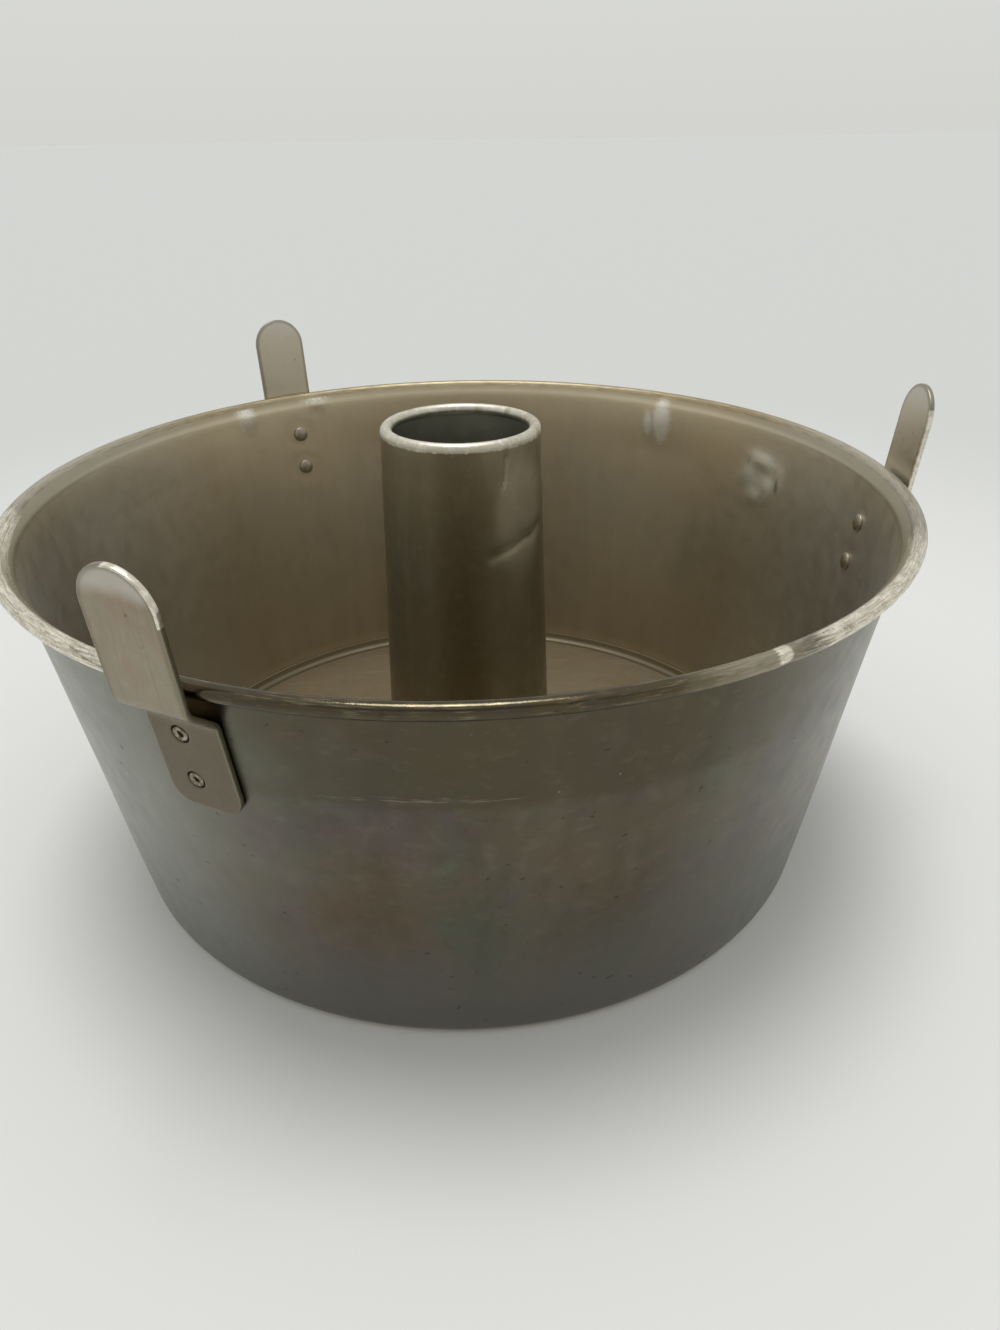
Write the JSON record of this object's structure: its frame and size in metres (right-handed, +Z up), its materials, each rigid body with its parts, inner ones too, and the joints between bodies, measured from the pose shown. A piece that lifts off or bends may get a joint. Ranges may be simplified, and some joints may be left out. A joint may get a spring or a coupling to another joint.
{
  "type": "angel food cake pan",
  "caption": "Round flared baking pan with rolled rim, lift-out bottom with a tall hollow center tube, and cooling feet riveted under the rim for standing it upside down.",
  "frame": {"origin": "on the pan's axis, in the plane that the pan stands on", "axes": "+Z up along the pan's axis, +X towards the right-hand cooling foot"},
  "size_m": [0.2674, 0.262, 0.1398],
  "materials": {
    "wall_metal": "spun aluminium with years of brown and olive baking tarnish, satin, worn bright on the bead",
    "plate_metal": "satin aluminium, browned, a little cleaner than the wall",
    "tube_metal": "satin aluminium, browned, bright where the mouth is rolled",
    "foot_metal": "smooth satin aluminium strip, warm grey, edges worn bright",
    "rivet_metal": "aluminium rivet, dark in its recesses"
  },
  "bodies": {
    "pan": {"pan_wall": "wall_metal", "foot_right": "foot_metal", "foot_rear_left": "foot_metal", "foot_front_left": "foot_metal", "rivet_right_upper": "rivet_metal", "rivet_right_lower": "rivet_metal", "rivet_rear_left_upper": "rivet_metal", "rivet_rear_left_lower": "rivet_metal", "rivet_front_left_upper": "rivet_metal", "rivet_front_left_lower": "rivet_metal"},
    "insert": {"base_plate": "plate_metal", "center_tube": "tube_metal"}
  },
  "joints": [
    {"name": "insert_lift", "type": "slide", "parent": "pan", "child": "insert", "axis": [0, 0, 1], "range_m": [0, 0.14]}
  ]
}
